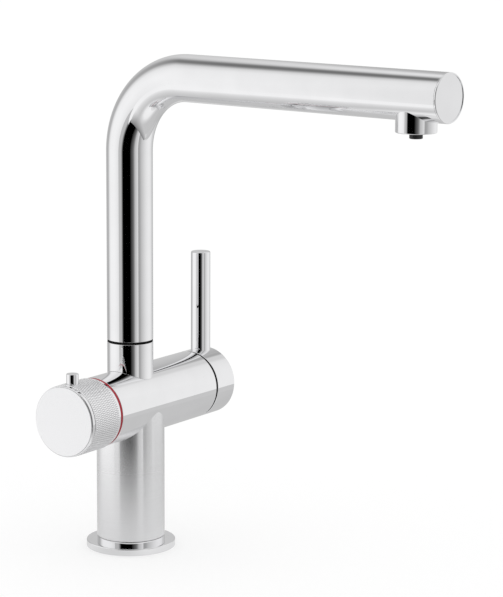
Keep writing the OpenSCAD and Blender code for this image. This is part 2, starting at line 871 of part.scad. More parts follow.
base_gasket();
base_flange();
inlet_block();
cold_riser();
hot_riser();
boiling_riser();
column();
mixer_body();
spout_collar();
swivel_washer();
swivel_bushes();
spout_stop_screw();
spout_spigot();
spigot_o_rings();
spout_tube();
spout_end_cap();
outlet_collar();
aerator_insert();
aerator_seal();
boiling_nozzle();
boiling_inner_tube();
inner_tube_tail();
tail_o_ring();
cartridge_seal();
cartridge_fixed_disc();
cartridge_moving_disc();
cartridge_housing();
cartridge_spindle();
cartridge_nut();
lever_slide_ring();
lever_cap();
lever_rod();
lever_grub_screw();
red_ring();
valve_headwork();
valve_seal();
valve_fixed_disc();
valve_moving_disc();
valve_spindle();
guide_sleeve();
knob_sleeve();
knob_hub();
knob_face();
knob_screw();
safety_button();
button_spring();
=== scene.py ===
"""A boiling water tap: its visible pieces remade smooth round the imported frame, and their finishes."""

import functools
import json
import math

import bmesh
import bpy
from mathutils import Matrix, Vector


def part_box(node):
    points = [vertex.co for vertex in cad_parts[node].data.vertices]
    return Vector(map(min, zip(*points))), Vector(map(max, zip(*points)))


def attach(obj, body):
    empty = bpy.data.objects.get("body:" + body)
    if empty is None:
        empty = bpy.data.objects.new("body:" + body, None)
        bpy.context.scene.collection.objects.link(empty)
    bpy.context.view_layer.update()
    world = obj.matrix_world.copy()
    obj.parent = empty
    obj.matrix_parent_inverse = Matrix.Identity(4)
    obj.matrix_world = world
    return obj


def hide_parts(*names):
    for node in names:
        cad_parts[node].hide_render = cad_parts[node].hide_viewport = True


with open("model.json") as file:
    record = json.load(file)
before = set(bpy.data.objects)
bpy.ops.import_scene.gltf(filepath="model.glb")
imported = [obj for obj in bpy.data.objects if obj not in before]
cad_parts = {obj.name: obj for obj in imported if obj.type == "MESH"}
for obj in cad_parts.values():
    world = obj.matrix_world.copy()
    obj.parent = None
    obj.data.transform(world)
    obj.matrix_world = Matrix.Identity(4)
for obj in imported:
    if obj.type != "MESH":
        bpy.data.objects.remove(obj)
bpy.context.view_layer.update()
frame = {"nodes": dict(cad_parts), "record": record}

MM = 0.001
AROUND = 192  # facets round a turned piece
ROD_AROUND = 128
BUTTON_AROUND = 96
CORNER_STEPS = 4  # facets across a rounded corner
SHARP_ANGLE = math.radians(35)
CAMERA_TURN = -56.397  # degrees; at 0 the camera looks along +Y
CAMERA_SIDE = math.radians(CAMERA_TURN - 90)  # where the camera stands, round the Z axis

# Sizes that the nodes' boxes don't give, in millimetres, as the CAD model has them.
FIT = 0.05  # play round a piece that sits in another
COLUMN_WALL = 2.5
SPOUT_WALL = 1.5
SPOUT_REACH = 230.3
BEND_R = 46.0
END_CAP_T = 1.2


# ---- sizes from the frame, in millimetres ------------------------------------------------


@functools.cache
def box_mm(node):
    low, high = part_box(node)
    return low / MM, high / MM


def lowest(node):
    return box_mm(node)[0]


def highest(node):
    return box_mm(node)[1]


def middle(node):
    return (lowest(node) + highest(node)) / 2


def width(node):
    return highest(node).x - lowest(node).x


axis_z = middle("mixer_body").z
barrel_r = (highest("mixer_body").z - lowest("mixer_body").z) / 2
spout_r = highest("spout_collar").x
outlet_axis = Vector((middle("boiling_nozzle").x, middle("boiling_nozzle").y, 0))
spout_angle = math.atan2(outlet_axis.x, -outlet_axis.y)
spout_z = highest("spout_tube").z - spout_r
tube_end = SPOUT_REACH - END_CAP_T

upright = Matrix.Identity(4)
along_barrel = Matrix.Translation((0, 0, axis_z)) @ Matrix.Rotation(math.pi / 2, 4, "Y")
on_spout = Matrix.Rotation(spout_angle, 4, "Z")
on_outlet = Matrix.Translation(outlet_axis)


def on_barrel_top(node):
    """The upright axis of a piece that stands on the barrel, with heights from the barrel's axis."""
    return Matrix.Translation((middle(node).x, 0, axis_z))


# ---- making pieces -----------------------------------------------------------------------


def outline_mesh(corners, rounding):
    """A flat outline of (radius, height) corners. It stays open where both its ends lie on the axis."""
    mesh = bmesh.new()
    verts = [mesh.verts.new((radius, 0, height)) for radius, height in corners]
    open_ended = corners[0][0] == 0 and corners[-1][0] == 0
    for first, second in zip(verts, verts[1:] if open_ended else verts[1:] + verts[:1]):
        mesh.edges.new((first, second))
    for index, radius in rounding.items():
        bmesh.ops.bevel(mesh, geom=[verts[index]], offset=radius, offset_type="OFFSET",
                        segments=CORNER_STEPS, profile=0.5, affect="VERTICES", material=-1)
    return mesh


def spun(mesh, around):
    bmesh.ops.spin(mesh, geom=mesh.verts[:] + mesh.edges[:], cent=(0, 0, 0), axis=(0, 0, 1),
                   angle=2 * math.pi, steps=around, use_merge=True)
    bmesh.ops.remove_doubles(mesh, verts=mesh.verts, dist=1e-4)
    bmesh.ops.recalc_face_normals(mesh, faces=mesh.faces)
    return mesh


def turned(corners, rounding=None, around=AROUND):
    """A piece turned about the Z axis from (radius, height) corners, some of them rounded."""
    return spun(outline_mesh(corners, rounding or {}), around)


def turned_ring(bore_r, outer_r, bottom, top, edge):
    """A plain ring with both its outer edges rounded."""
    corners = [(bore_r, bottom), (outer_r, bottom), (outer_r, top), (bore_r, top)]
    return turned(corners, {1: edge, 2: edge})


def finished(mesh, name, place, finish, body, node):
    """Places the mesh, shades it and lets it stand for its CAD node."""
    mesh.transform(Matrix.Scale(MM, 4) @ place)
    data = bpy.data.meshes.new(name)
    mesh.to_mesh(data)
    mesh.free()
    data.shade_smooth()
    data.set_sharp_from_angle(angle=SHARP_ANGLE)
    data.materials.append(finish)
    piece = bpy.data.objects.new(name, data)
    bpy.context.scene.collection.objects.link(piece)
    shading = piece.modifiers.new("even shading", "WEIGHTED_NORMAL")
    shading.keep_sharp = True
    shading.weight = 100
    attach(piece, body)
    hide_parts(node)
    return piece


def set_saddle(chosen, lift):
    """Moves the chosen vertices of an upright piece on to the barrel, above (1) or below (-1) its axis."""
    for vert in chosen:
        vert.co.z = axis_z + lift * math.sqrt(barrel_r**2 - vert.co.y**2)


# ---- finishes ----------------------------------------------------------------------------


def new_finish(name):
    finish = bpy.data.materials.new(name)
    finish.use_nodes = True
    nodes = finish.node_tree.nodes
    return finish, nodes, finish.node_tree.links, nodes["Principled BSDF"]


def object_noise(nodes, links, scale, stretch=(1, 1, 1)):
    """Noise on the piece's own coordinates, in grains per metre."""
    place = nodes.new("ShaderNodeTexCoord")
    turn = nodes.new("ShaderNodeMapping")
    turn.inputs["Scale"].default_value = stretch
    noise = nodes.new("ShaderNodeTexNoise")
    noise.inputs["Scale"].default_value = scale
    noise.inputs["Detail"].default_value = 3.0
    links.new(place.outputs["Object"], turn.inputs["Vector"])
    links.new(turn.outputs["Vector"], noise.inputs["Vector"])
    return noise


def spread(nodes, links, source, low, high):
    """Maps a 0 to 1 texture value to the range low to high."""
    level = nodes.new("ShaderNodeMapRange")
    level.inputs["To Min"].default_value = low
    level.inputs["To Max"].default_value = high
    links.new(source, level.inputs["Value"])
    return level.outputs["Result"]


def tinted(nodes, links, source, dark, pale):
    ramp = nodes.new("ShaderNodeValToRGB")
    ramp.color_ramp.elements[0].position = 0.3
    ramp.color_ramp.elements[1].position = 0.7
    ramp.color_ramp.elements[0].color = (*dark, 1)
    ramp.color_ramp.elements[1].color = (*pale, 1)
    links.new(source, ramp.inputs["Fac"])
    return ramp.outputs["Color"]


def bumped(nodes, links, source, shader, strength, depth_mm):
    bump = nodes.new("ShaderNodeBump")
    bump.inputs["Strength"].default_value = strength
    bump.inputs["Distance"].default_value = depth_mm * MM
    links.new(source, bump.inputs["Height"])
    links.new(bump.outputs["Normal"], shader.inputs["Normal"])


def grained(name, dark, pale, metallic, rough, scale, stretch=(1, 1, 1), bump=0.0, specular=0.5):
    """A finish whose tint, gloss and surface vary with one grain."""
    finish, nodes, links, shader = new_finish(name)
    noise = object_noise(nodes, links, scale, stretch)
    links.new(tinted(nodes, links, noise.outputs["Fac"], dark, pale), shader.inputs["Base Color"])
    links.new(spread(nodes, links, noise.outputs["Fac"], *rough), shader.inputs["Roughness"])
    shader.inputs["Metallic"].default_value = metallic
    shader.inputs["Specular IOR Level"].default_value = specular
    if bump:
        bumped(nodes, links, noise.outputs["Fac"], shader, bump, depth_mm=0.02)
    return finish


def turned_satin_finish():
    """Satin chrome with fine turned lines that blur up and down, and painted light at the foot: it turns
    paler and less metallic towards the bottom, standing in for light thrown up from the pale floor.
    """
    painted_light_below, full_metal_above = 0.008, 0.068
    finish = grained("turned_satin_chrome", (0.91, 0.91, 0.92), (0.94, 0.94, 0.95), 1.0, (0.17, 0.20),
                     3500, stretch=(0.02, 0.02, 1))
    nodes, links = finish.node_tree.nodes, finish.node_tree.links
    shader = nodes["Principled BSDF"]
    place = nodes.new("ShaderNodeTexCoord")
    parts = nodes.new("ShaderNodeSeparateXYZ")
    height = nodes.new("ShaderNodeMapRange")
    height.inputs["From Min"].default_value = painted_light_below
    height.inputs["From Max"].default_value = full_metal_above
    height.inputs["To Min"].default_value = 0.15
    height.inputs["To Max"].default_value = 1.0
    links.new(place.outputs["Object"], parts.inputs["Vector"])
    links.new(parts.outputs["Z"], height.inputs["Value"])
    # painted light: metallic falls towards the foot, so the paler base colour shows there
    links.new(height.outputs["Result"], shader.inputs["Metallic"])
    shader.inputs["Anisotropic"].default_value = 1.0
    shader.inputs["Anisotropic Rotation"].default_value = 0.25
    return finish


def knurl_shade_finish():
    """Chrome with painted shade: its colour darkens in the knurl's cuts and in the turned groove before
    them, by each vertex's cut mark.
    """
    # the second colour is painted shade for the knurl's cuts and its turned groove
    crest, cut_shade_colour = (0.98, 0.98, 0.99), (0.44, 0.44, 0.45)
    finish, nodes, links, shader = new_finish("knurled_chrome_painted_shade")
    cut = nodes.new("ShaderNodeAttribute")
    cut.attribute_name = "cut"
    grain = object_noise(nodes, links, 700)
    links.new(tinted(nodes, links, cut.outputs["Fac"], crest, cut_shade_colour), shader.inputs["Base Color"])
    links.new(spread(nodes, links, grain.outputs["Fac"], 0.08, 0.14), shader.inputs["Roughness"])
    shader.inputs["Metallic"].default_value = 0.55
    return finish


chrome = grained("polished_chrome", (0.88, 0.88, 0.89), (0.91, 0.91, 0.92), 1.0, (0.01, 0.03), 60)
satin_chrome = turned_satin_finish()
satin_face = grained(
    "blasted_satin_face", (0.90, 0.90, 0.91), (0.93, 0.93, 0.94), 1.0, (0.26, 0.30), 6000, bump=0.1)
red_moulding = grained(
    "dark_red_moulding", (0.38, 0.018, 0.034), (0.44, 0.026, 0.044), 0.0, (0.25, 0.35), 800, specular=0.2)
black_moulding = grained(
    "black_moulding", (0.010, 0.010, 0.011), (0.016, 0.016, 0.017), 0.0, (0.35, 0.5), 900)
matt_seal = grained(
    "matt_black_seal", (0.003, 0.003, 0.003), (0.006, 0.006, 0.006), 0.0, (0.7, 0.85), 900, specular=0.1)
dark_moulding = grained(
    "dark_moulding", (0.045, 0.045, 0.05), (0.06, 0.06, 0.065), 0.0, (0.4, 0.55), 900)
pale_moulding = grained(
    "pale_moulding", (0.74, 0.74, 0.72), (0.80, 0.80, 0.78), 0.0, (0.35, 0.5), 900)
rubber = grained(
    "sealing_rubber", (0.015, 0.015, 0.015), (0.028, 0.028, 0.028), 0.0, (0.6, 0.8), 1500, bump=0.2)
ceramic = grained("lapped_ceramic", (0.84, 0.83, 0.79), (0.88, 0.87, 0.84), 0.0, (0.12, 0.2), 700)
raw_brass = grained(
    "machined_brass", (0.62, 0.44, 0.16), (0.72, 0.54, 0.24), 1.0, (0.2, 0.34), 2500, (1, 1, 6), bump=0.1)
copper = grained(
    "drawn_copper", (0.72, 0.36, 0.22), (0.80, 0.44, 0.28), 1.0, (0.2, 0.35), 1800, (6, 6, 1), bump=0.1)
screw_steel = grained(
    "screw_steel", (0.42, 0.42, 0.43), (0.52, 0.52, 0.53), 1.0, (0.25, 0.4), 2200, bump=0.1)

SLOT_FINISHES = {
    "chrome": chrome, "satin_chrome": satin_chrome, "satin_face": satin_face, "red_ring": red_moulding,
    "black_plastic": black_moulding, "dark_plastic": dark_moulding, "pale_plastic": pale_moulding,
    "rubber": rubber, "valve_ceramic": ceramic, "raw_brass": raw_brass, "copper": copper,
    "screw_steel": screw_steel,
}


def finish_cad_nodes():
    for part in frame["record"]["subparts"]:
        data = frame["nodes"][part["node"]].data
        data.materials.clear()
        data.materials.append(SLOT_FINISHES[part["material_slot"]])


# ---- base and column ---------------------------------------------------------------------


def make_flange():
    low, high = box_mm("base_flange")
    flange_t, neck_h, gasket_w = 4.2, 2.5, 5.8
    flange_top = low.z + flange_t
    neck_top = flange_top + neck_h
    column_r = highest("column").x
    spigot_r = column_r - COLUMN_WALL - FIT
    bore_r = highest("inlet_block").x + FIT
    recess_out = highest("base_gasket").x + FIT
    recess_in = recess_out - gasket_w - 2 * FIT
    recess_top = highest("base_gasket").z
    corners = [
        (bore_r, low.z), (recess_in, low.z), (recess_in, recess_top), (recess_out, recess_top),
        (recess_out, low.z), (high.x, low.z), (high.x, flange_top), (column_r, flange_top),
        (column_r, neck_top), (spigot_r, neck_top), (spigot_r, high.z), (bore_r, high.z),
    ]
    mesh = turned(corners, {5: 0.4, 6: 0.5, 8: 0.15})
    finished(mesh, "polished_base_flange", upright, chrome, "root", "base_flange")


def make_column():
    low, high = box_mm("column")
    bore_r = high.x - COLUMN_WALL
    mesh = turned([(bore_r, low.z), (high.x, low.z), (high.x, axis_z), (bore_r, axis_z)], {1: 0.15})
    set_saddle([vert for vert in mesh.verts if vert.co.z > axis_z - 1], lift=-1)
    finished(mesh, "satin_column", upright, satin_chrome, "root", "column")


# ---- barrel and collar -------------------------------------------------------------------


def make_barrel():
    low, high = box_mm("mixer_body")
    valve_r, valve_depth = 12.0, 20.4
    cartridge_r, cartridge_depth = 18.0, 39.3
    valve_floor = low.x + valve_depth
    cartridge_floor = high.x - cartridge_depth
    corners = [
        (0, valve_floor), (valve_r, valve_floor), (valve_r, low.x), (barrel_r, low.x),
        (barrel_r, high.x), (cartridge_r, high.x), (cartridge_r, cartridge_floor), (0, cartridge_floor),
    ]
    mesh = turned(corners, {3: 0.3, 4: 0.3})
    finished(mesh, "polished_barrel", along_barrel, chrome, "root", "mixer_body")


def make_collar():
    mesh = turned_ring(bore_r=11.5, outer_r=spout_r, bottom=axis_z, top=highest("spout_collar").z, edge=0.3)
    foot = [vert for vert in mesh.verts if vert.co.z < axis_z + 1]
    rise = {vert: vert.co.z - axis_z for vert in foot}
    set_saddle(foot, lift=1)
    for vert in foot:
        vert.co.z += rise[vert]
    finished(mesh, "polished_collar", upright, chrome, "root", "spout_collar")


def make_swivel_washer():
    low, high = box_mm("swivel_washer")
    mesh = turned_ring(bore_r=11.9, outer_r=high.x, bottom=low.z, top=high.z, edge=0.1)
    finished(mesh, "black_swivel_washer", upright, matt_seal, "root", "swivel_washer")


# ---- spout -------------------------------------------------------------------------------


def edges_in(geometry):
    return [item for item in geometry if isinstance(item, bmesh.types.BMEdge)]


def verts_in(geometry):
    return [item for item in geometry if isinstance(item, bmesh.types.BMVert)]


def ring_of(mesh, radius, height):
    made = bmesh.ops.create_circle(mesh, cap_ends=False, radius=radius, segments=AROUND,
                                   matrix=Matrix.Translation((0, 0, height)))
    return list({edge for vert in made["verts"] for edge in vert.link_edges})


def drawn_on(mesh, edges, move):
    """Extrudes a ring of edges along a straight stretch and returns the new ring."""
    made = bmesh.ops.extrude_edge_only(mesh, edges=edges)["geom"]
    bmesh.ops.translate(mesh, vec=move, verts=verts_in(made))
    return edges_in(made)


def make_spout_tube():
    bottom = lowest("spout_tube").z
    bend_steps = 64
    bend_z = spout_z - BEND_R
    end_edge = 0.15
    mesh = bmesh.new()
    bottom_rings, end_rings = [], []
    for radius in (spout_r, spout_r - SPOUT_WALL):
        first = ring_of(mesh, radius, bottom)
        up = drawn_on(mesh, first, (0, 0, bend_z - bottom))
        around_bend = bmesh.ops.spin(
            mesh, geom=up + list({vert for edge in up for vert in edge.verts}), cent=(0, -BEND_R, bend_z),
            axis=(1, 0, 0), angle=math.pi / 2, steps=bend_steps)
        last = drawn_on(mesh, edges_in(around_bend["geom_last"]), (0, BEND_R - tube_end, 0))
        bottom_rings.append(first)
        end_rings.append(last)
    bmesh.ops.bridge_loops(mesh, edges=bottom_rings[0] + bottom_rings[1])
    bmesh.ops.bridge_loops(mesh, edges=end_rings[0] + end_rings[1])
    bmesh.ops.recalc_face_normals(mesh, faces=mesh.faces)  # before the bevel, which goes by the faces' sides
    bmesh.ops.bevel(mesh, geom=bottom_rings[0] + end_rings[0], offset=end_edge, offset_type="OFFSET",
                    segments=2, profile=0.5, affect="EDGES", material=-1)
    finished(mesh, "polished_spout", on_spout, chrome, "spout", "spout_tube")


def make_end_cap():
    plug_len = 4.0
    plug_r = spout_r - SPOUT_WALL - FIT
    rim_w, recess = 0.9, 0.4
    rim_r, face = spout_r - rim_w, END_CAP_T - recess
    corners = [
        (0, -plug_len), (plug_r, -plug_len), (plug_r, 0), (spout_r, 0), (spout_r, END_CAP_T),
        (rim_r, END_CAP_T), (rim_r, face), (0, face),
    ]
    mesh = turned(corners, {3: 0.15, 4: 0.45, 5: 0.1})
    place = on_spout @ Matrix.Translation((0, -tube_end, spout_z)) @ Matrix.Rotation(math.pi / 2, 4, "X")
    finished(mesh, "polished_end_cap", place, chrome, "spout", "spout_end_cap")


def make_outlet():
    low, high = box_mm("outlet_collar")
    outer_r = width("outlet_collar") / 2
    bore_r, throat_r = outer_r - 1.55, outer_r - 4.55
    ledge = high.z - 3.5
    corners = [
        (bore_r, low.z), (outer_r, low.z), (outer_r, high.z), (throat_r, high.z), (throat_r, ledge),
        (bore_r, ledge),
    ]
    mesh = turned(corners, {0: 0.2, 1: 0.6})
    finished(mesh, "polished_outlet_collar", on_outlet, chrome, "spout", "outlet_collar")


def make_nozzle():
    low, high = box_mm("boiling_nozzle")
    outer_r, bore_r = width("boiling_nozzle") / 2, 2.2
    mesh = turned([(bore_r, low.z), (outer_r, low.z), (outer_r, high.z), (bore_r, high.z)], {0: 0.3, 1: 0.5})
    finished(mesh, "black_boiling_nozzle", on_outlet, black_moulding, "spout", "boiling_nozzle")


# ---- mixer lever -------------------------------------------------------------------------


def make_slide_ring():
    low, high = box_mm("lever_slide_ring")
    mesh = turned_ring(bore_r=18.2, outer_r=high.z - axis_z, bottom=low.x, top=high.x, edge=0.1)
    finished(mesh, "dark_slide_ring", along_barrel, matt_seal, "root", "lever_slide_ring")


def make_lever_cap():
    low, high = box_mm("lever_cap")
    mouth_r, mouth_depth = 18.5, 3.2
    stem_r, face_t = 5.05, 3.4
    mouth_floor = low.x + mouth_depth
    bore_end = high.x - face_t
    corners = [
        (0, bore_end), (stem_r, bore_end), (stem_r, mouth_floor), (mouth_r, mouth_floor), (mouth_r, low.x),
        (barrel_r, low.x), (barrel_r, high.x), (0, high.x),
    ]
    mesh = turned(corners, {5: 0.3, 6: 0.8})
    finished(mesh, "polished_lever_cap", along_barrel, chrome, "lever", "lever_cap")


def make_lever_rod():
    bottom, top = lowest("lever_rod").z - axis_z, highest("lever_rod").z - axis_z
    rod_r = width("lever_rod") / 2
    tail_r, seat = 3.95, 17.0
    corners = [(0, bottom), (tail_r, bottom), (tail_r, seat), (rod_r, seat), (rod_r, top), (0, top)]
    mesh = turned(corners, {3: 0.2, 4: 0.7}, around=ROD_AROUND)
    finished(mesh, "polished_lever_rod", on_barrel_top("lever_rod"), chrome, "lever", "lever_rod")


# ---- boiling water knob ------------------------------------------------------------------


def make_red_ring():
    low, high = box_mm("red_ring")
    mesh = turned_ring(bore_r=12.2, outer_r=barrel_r, bottom=low.x, top=high.x, edge=0.2)
    finished(mesh, "red_ring_moulding", along_barrel, red_moulding, "root", "red_ring")


KNURL_TEETH = 100
KNURL_STEPS = 8  # facets to a tooth
KNURL_RINGS = 72
KNURL_LEAD = math.radians(20)
KNURL_DEPTH = 0.15
GROOVE_W = 0.4  # the turned groove at each end of the knurl
NEAR = 0.01  # what still counts as the same radius or height


def from_cut(angle):
    """How far an angle lies from the knurl's nearest cut: 0 in the cut, 1 midway between two."""
    return abs((angle * KNURL_TEETH / (2 * math.pi)) % 1 - 0.5) * 2


def press_knurl(mesh, knob_r, blank_r, inner_r, start, end):
    """Presses crossed cuts into the blank band, and marks each vertex with how deep in a cut it lies, which
    the finish turns into painted shade; the turned groove is marked for painted shade too.
    """
    cut_slope = 2.4
    run_out, shallowest = 0.5, 0.3  # the cuts fade over this length, to this share of their depth
    # painted shade for the turned groove before the knurl, darker nearer each cut line
    groove_shade = 1.3
    cut_shade_layer = mesh.verts.layers.float.new("cut")
    for vert in mesh.verts:
        radius = math.hypot(vert.co.x, vert.co.y)
        angle = math.atan2(vert.co.y, vert.co.x)
        turn_here = vert.co.z * math.tan(KNURL_LEAD) / knob_r
        left = from_cut(angle + turn_here)
        right = from_cut(angle - turn_here)
        if start - GROOVE_W < vert.co.z < start - NEAR and radius > inner_r:
            vert[cut_shade_layer] = groove_shade - left
        if start - NEAR <= vert.co.z <= end + NEAR and radius > blank_r - NEAR:
            fade = min(1.0, (vert.co.z - start) / run_out, (end - vert.co.z) / run_out)
            share = max(0.0, 1 - cut_slope * min(left, right)) * max(fade, shallowest)
            vert[cut_shade_layer] = share
            factor = (knob_r - KNURL_DEPTH * share) / radius
            vert.co.x *= factor
            vert.co.y *= factor


def make_knob_sleeve():
    low, high = box_mm("knob_sleeve")
    knob_r = high.z - axis_z
    bore_r = knob_r - 3.6
    face_bore_r = highest("knob_face").z - axis_z + 0.06
    face_seat = highest("knob_face").x
    front = low.x - 0.25
    rim_r = knob_r - 0.25  # the polished rims lie a little under the knurl's crests
    groove_r = rim_r - 0.2
    back_r = rim_r - 0.1
    blank_r = knob_r - 0.1  # the band before the knurl is pressed, which raises its crests
    start, end = low.x + 2.35, high.x - 1.9
    corners = [
        (bore_r, face_seat), (face_bore_r, face_seat), (face_bore_r, front), (rim_r, front),
        (rim_r, start - GROOVE_W), (groove_r, start - GROOVE_W / 2), (blank_r, start),
        (blank_r, end), (back_r, end + GROOVE_W), (back_r, high.x), (bore_r, high.x),
    ]
    mesh = outline_mesh(corners, {2: 0.08, 3: 0.6, 9: 0.3})
    band = max(mesh.edges, key=lambda edge: edge.calc_length() if edge.verts[0].co.x > blank_r - NEAR else 0)
    bmesh.ops.subdivide_edges(mesh, edges=[band], cuts=KNURL_RINGS - 1)
    mesh = spun(mesh, KNURL_TEETH * KNURL_STEPS)
    press_knurl(mesh, knob_r, blank_r, face_bore_r, start, end)
    for face in mesh.faces:
        centre = face.calc_center_median()
        outside = math.hypot(centre.x, centre.y) > face_bore_r
        face.material_index = 1 if outside and start - GROOVE_W < centre.z < end else 0
    sleeve = finished(mesh, "knurled_knob_sleeve", along_barrel, chrome, "knob", "knob_sleeve")
    # the knurled band gets the finish with painted shade in its cuts and groove
    sleeve.data.materials.append(knurl_shade_finish())


def make_knob_face():
    low, high = box_mm("knob_face")
    face_r = high.z - axis_z
    mesh = turned([(0, low.x), (face_r, low.x), (face_r, high.x), (0, high.x)], {1: 0.1})
    finished(mesh, "satin_knob_face", along_barrel, satin_face, "knob", "knob_face")


def make_button():
    bottom, top = lowest("safety_button").z - axis_z, highest("safety_button").z - axis_z
    pin_r, tip_r = 3.65, 2.0
    shoulder_r = width("safety_button") / 2
    shoulder, shoulder_t = 17.25, 1.5
    corners = [
        (0, bottom), (tip_r, bottom), (tip_r, shoulder - shoulder_t), (shoulder_r, shoulder - shoulder_t),
        (shoulder_r, shoulder), (pin_r, shoulder), (pin_r, top), (0, top),
    ]
    mesh = turned(corners, {6: 0.45}, around=BUTTON_AROUND)
    finished(mesh, "polished_safety_button", on_barrel_top("safety_button"), chrome, "button",
             "safety_button")


# ---- camera ------------------------------------------------------------------------------


def make_camera():
    """The camera of the photograph: its place and lens come from the tap's outlines in it."""
    image_height = 597
    focal_pixels = 2467.9
    pitch, azimuth, roll = math.radians(10.122), math.radians(CAMERA_TURN), math.radians(0.275)
    distance = 1494.7
    aim_right, aim_height = 73.57, 154.45
    level_back = Vector((math.sin(azimuth), -math.cos(azimuth), 0))
    back = math.cos(pitch) * level_back + Vector((0, 0, math.sin(pitch)))
    level_right = Vector((math.cos(azimuth), math.sin(azimuth), 0))
    level_up = back.cross(level_right)
    right = math.cos(roll) * level_right + math.sin(roll) * level_up
    up = back.cross(right)
    place = aim_right * level_right + Vector((0, 0, aim_height)) + distance * back
    data = bpy.data.cameras.new("photograph")
    data.sensor_width = 36
    data.lens = focal_pixels * data.sensor_width / image_height
    data.clip_start, data.clip_end = 0.05, 100
    camera = bpy.data.objects.new("photograph", data)
    camera.matrix_world = Matrix.Translation(place * MM) @ Matrix((right, up, back)).transposed().to_4x4()
    bpy.context.scene.collection.objects.link(camera)
    bpy.context.scene.camera = camera


# ---- stage and light ---------------------------------------------------------------------

# Light levels round the object, as (degrees, level) rows. The degrees count from the camera's
# side, anticlockwise from above, and a level of 1 is white.
FLOOR_WALL = [
    (-180, 0.82), (-165, 0.80), (-150, 0.60), (-138, 0.50), (-128, 0.50), (-121, 0.64), (-115, 0.84),
    (-104, 0.97), (-80, 0.98), (-66, 0.97), (-31, 0.97), (45, 0.38), (54, 0.41), (61, 0.55), (72, 0.67),
    (86, 0.74), (92, 0.62), (130, 0.61), (138, 0.52), (158, 0.48), (165, 0.60), (172, 0.80), (180, 0.82),
]
LOW_WALL = [
    (-180, 0.60), (-165, 0.57), (-150, 0.52), (-138, 0.47), (-128, 0.48), (-121, 0.64), (-115, 0.84),
    (-104, 0.97), (-80, 0.98), (-66, 0.93), (-58, 0.87), (-53, 0.85), (-31, 0.90), (45, 0.38), (54, 0.41),
    (61, 0.55), (72, 0.67), (86, 0.80), (98, 0.87), (112, 0.91), (122, 0.88), (132, 0.83), (138, 0.66),
    (150, 0.67), (158, 0.48), (165, 0.50), (180, 0.60),
]
HIGH_WALL = [
    (-180, 0.85), (-168, 0.82), (-155, 0.58), (-145, 0.30), (-135, 0.18), (-122, 0.19), (-112, 0.36),
    (-100, 0.68), (-85, 0.84), (60, 0.84), (120, 0.93), (140, 0.86), (150, 0.75), (160, 0.34), (168, 0.55),
    (180, 0.85),
]
STAND = [
    (-180, 0.70), (-118, 0.70), (-84, 0.81), (-52, 0.73), (-25, 0.69), (0, 0.71), (27, 0.84), (55, 0.85),
    (79, 0.81), (129, 0.77), (180, 0.70),
]
GREY_SCREEN = [(-53, 0.54), (-42, 0.53), (-38, 0.46), (-34, 0.14), (-31, 0.03)]
FRONT_CARD = [
    (-33, 0.0), (5, 0.0), (7, 0.015), (10, 0.045), (14, 0.085), (18, 0.125), (22, 0.19), (26, 0.37),
    (30, 0.57), (34, 0.61), (38, 0.69), (42, 0.755), (45, 0.79),
]
RIGHT_CARD = [(80, 0.74), (86, 0.70), (92, 0.62), (130, 0.61), (140, 0.60)]
CORNER_CARD = [(146, 0.66), (150, 0.42), (154, 0.44), (158, 0.50)]

# The table's edges, and its light levels by millimetres: round the bright spot under the tap,
# from left to right, and from back to front.
TABLE_FRONT, TABLE_BACK, TABLE_LEFT, TABLE_RIGHT = 357, -700, -385, 585
TABLE_SPOT = [(0, 0.98), (90, 0.92), (130, 0.72), (180, 0.58), (2000, 0.40)]
TABLE_SIDE = [
    (TABLE_LEFT, 0.93), (-291, 0.77), (-216, 0.68), (-160, 0.62), (-110, 0.52), (TABLE_RIGHT, 0.40),
]
TABLE_REAR = [
    (TABLE_BACK, 0.84), (-560, 0.76), (-430, 0.56), (-400, 0.50), (-200, 0.44), (-150, 0.51), (-100, 0.59),
    (TABLE_FRONT, 0.60),
]
TABLE_SHADE = [(TABLE_BACK, 1), (230, 1), (TABLE_FRONT, 0.36)]


def level_at(levels, where):
    for (start, first), (end, last) in zip(levels, levels[1:]):
        if start <= where <= end:
            return first + (last - first) * (where - start) / (end - start)
    return levels[-1][1]


def set_stage_piece(mesh, name, place, glow):
    """Makes a studio surface that only metal and glass see, glowing with its own levels."""
    data = bpy.data.meshes.new(name)
    mesh.to_mesh(data)
    mesh.free()
    data.materials.append(glow)
    piece = bpy.data.objects.new(name, data)
    piece.matrix_world = place
    piece.visible_camera = False
    piece.visible_diffuse = False
    piece.visible_shadow = False
    bpy.context.scene.collection.objects.link(piece)


def studio_glow():
    glow = bpy.data.materials.new("studio_glow")
    glow.use_nodes = True
    nodes, links = glow.node_tree.nodes, glow.node_tree.links
    nodes.clear()
    level = nodes.new("ShaderNodeAttribute")
    level.attribute_name = "level"
    shine = nodes.new("ShaderNodeEmission")
    output = nodes.new("ShaderNodeOutputMaterial")
    links.new(level.outputs["Fac"], shine.inputs["Strength"])
    links.new(shine.outputs["Emission"], output.inputs["Surface"])
    return glow


def studio_wall(name, radius, rows, glow):
    """An upright curved card round the object, from rows of (height, levels)."""
    heights = [height for height, _ in rows]
    start, end = rows[0][1][0][0], rows[0][1][-1][0]
    mesh = bmesh.new()
    column = [mesh.verts.new((radius, 0, height)) for height in heights]
    for first, second in zip(column, column[1:]):
        mesh.edges.new((first, second))
    to_start = Matrix.Rotation(math.radians(start), 3, "Z")
    bmesh.ops.rotate(mesh, verts=mesh.verts, cent=(0, 0, 0), matrix=to_start)
    bmesh.ops.spin(mesh, geom=mesh.verts[:] + mesh.edges[:], cent=(0, 0, 0), axis=(0, 0, 1),
                   angle=math.radians(end - start), steps=end - start, use_merge=False)
    level = mesh.verts.layers.float.new("level")
    for vert in mesh.verts:
        row = min(range(len(heights)), key=lambda index: abs(heights[index] - vert.co.z))
        vert[level] = level_at(rows[row][1], math.degrees(math.atan2(vert.co.y, vert.co.x)))
    bmesh.ops.scale(mesh, vec=(MM, MM, MM), verts=mesh.verts)
    set_stage_piece(mesh, name, Matrix.Rotation(CAMERA_SIDE, 4, "Z"), glow)


